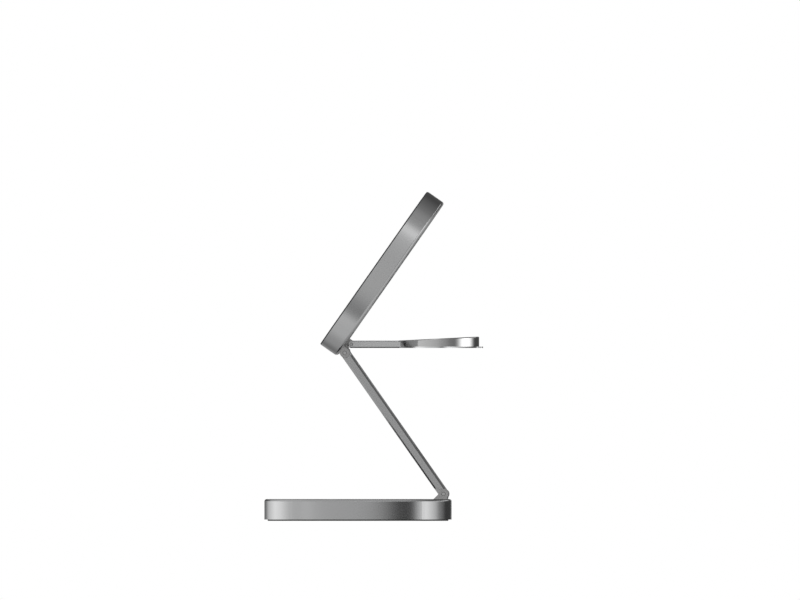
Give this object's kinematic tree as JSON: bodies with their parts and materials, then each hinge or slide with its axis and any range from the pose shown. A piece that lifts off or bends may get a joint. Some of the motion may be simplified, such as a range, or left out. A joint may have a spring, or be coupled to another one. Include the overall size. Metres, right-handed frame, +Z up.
{
  "type": "folding wireless charger",
  "caption": "Folding wireless charging stand with a leaning phone pad, a flat base for an earbud case and a fold out watch arm.",
  "frame": {"origin": "centre of the foot's underside, on the desk", "axes": "+Z up, -Y towards the user that the phone pad faces, +X to the user's right; all three hinges turn about X"},
  "size_m": [0.061, 0.0931, 0.1404],
  "materials": {
    "satin_aluminium": "bead blasted and anodised, satin",
    "arm_aluminium": "satin with a fine brushed grain",
    "bracket_metal": "satin",
    "bare_steel": "plain",
    "screw_steel": "plain",
    "pin_steel": "turned",
    "puck_chrome": "polished",
    "puck_white": "smooth gloss",
    "charcoal_face": "soft touch",
    "charcoal_inlay": "soft touch, fine pebble",
    "black_plastic": "moulded",
    "arm_cover_plastic": "fine matt",
    "ribbon_plastic": "film",
    "foot_rubber": "matt",
    "coil_copper": "enamelled copper winding",
    "ferrite": "dark sheet",
    "magnet_nickel": "nickel plated",
    "board_laminate": "solder mask",
    "chip_plastic": "moulded"
  },
  "bodies": {
    "base": {"base_shell": "satin_aluminium", "base_top_inlay": "charcoal_inlay", "base_bottom_plate": "black_plastic", "foot_pad": "foot_rubber", "case_screws": "screw_steel", "counterweight": "bare_steel", "earbud_coil": "coil_copper", "earbud_ferrite": "ferrite", "earbud_coil_carrier": "black_plastic", "main_board": "board_laminate", "board_parts": "chip_plastic", "usb_c_sleeve": "bare_steel", "usb_c_tongue": "black_plastic", "base_hinge_bracket": "bracket_metal", "base_bracket_screws": "screw_steel", "lower_hinge_pin": "pin_steel", "lower_hinge_washers": "bare_steel"},
    "arm": {"arm_frame": "arm_aluminium", "arm_wire_cover": "arm_cover_plastic", "arm_ribbon_wire": "ribbon_plastic"},
    "phone_pad": {"pad_shell": "satin_aluminium", "pad_face": "charcoal_face", "coil_carrier": "black_plastic", "carrier_screws": "screw_steel", "magnet_ring": "magnet_nickel", "alignment_magnet": "magnet_nickel", "phone_coil": "coil_copper", "phone_ferrite": "ferrite", "pad_board": "board_laminate", "pad_board_parts": "chip_plastic", "pad_hinge_bracket": "bracket_metal", "pad_bracket_screws": "screw_steel", "upper_hinge_pins": "pin_steel", "upper_hinge_washers": "bare_steel", "watch_pivot_pin": "pin_steel", "watch_pivot_washers": "bare_steel"},
    "watch_arm": {"watch_arm_body": "arm_aluminium", "watch_arm_cover": "arm_aluminium", "puck_ring": "puck_chrome", "puck_face": "puck_white", "watch_ferrite": "ferrite", "watch_coil": "coil_copper", "puck_magnet": "magnet_nickel"}
  },
  "joints": [
    {"name": "arm_fold", "type": "hinge", "parent": "base", "child": "arm", "pos_m": [0, 0.03675, 0.0115], "axis": [1, 0, 0], "range_deg": [-10, 55]},
    {"name": "pad_tilt", "type": "hinge", "parent": "arm", "child": "phone_pad", "pos_m": [0, -0.00541, 0.07171], "axis": [1, 0, 0], "range_deg": [-110, 20]},
    {"name": "watch_arm_fold", "type": "hinge", "parent": "phone_pad", "child": "watch_arm", "pos_m": [0, -0.00283, 0.07539], "axis": [1, 0, 0], "range_deg": [-10, 55]}
  ],
  "couplings": [
    {"joint": "pad_tilt", "follows": "arm_fold", "ratio": -2},
    {"joint": "watch_arm_fold", "follows": "arm_fold", "ratio": 1}
  ]
}
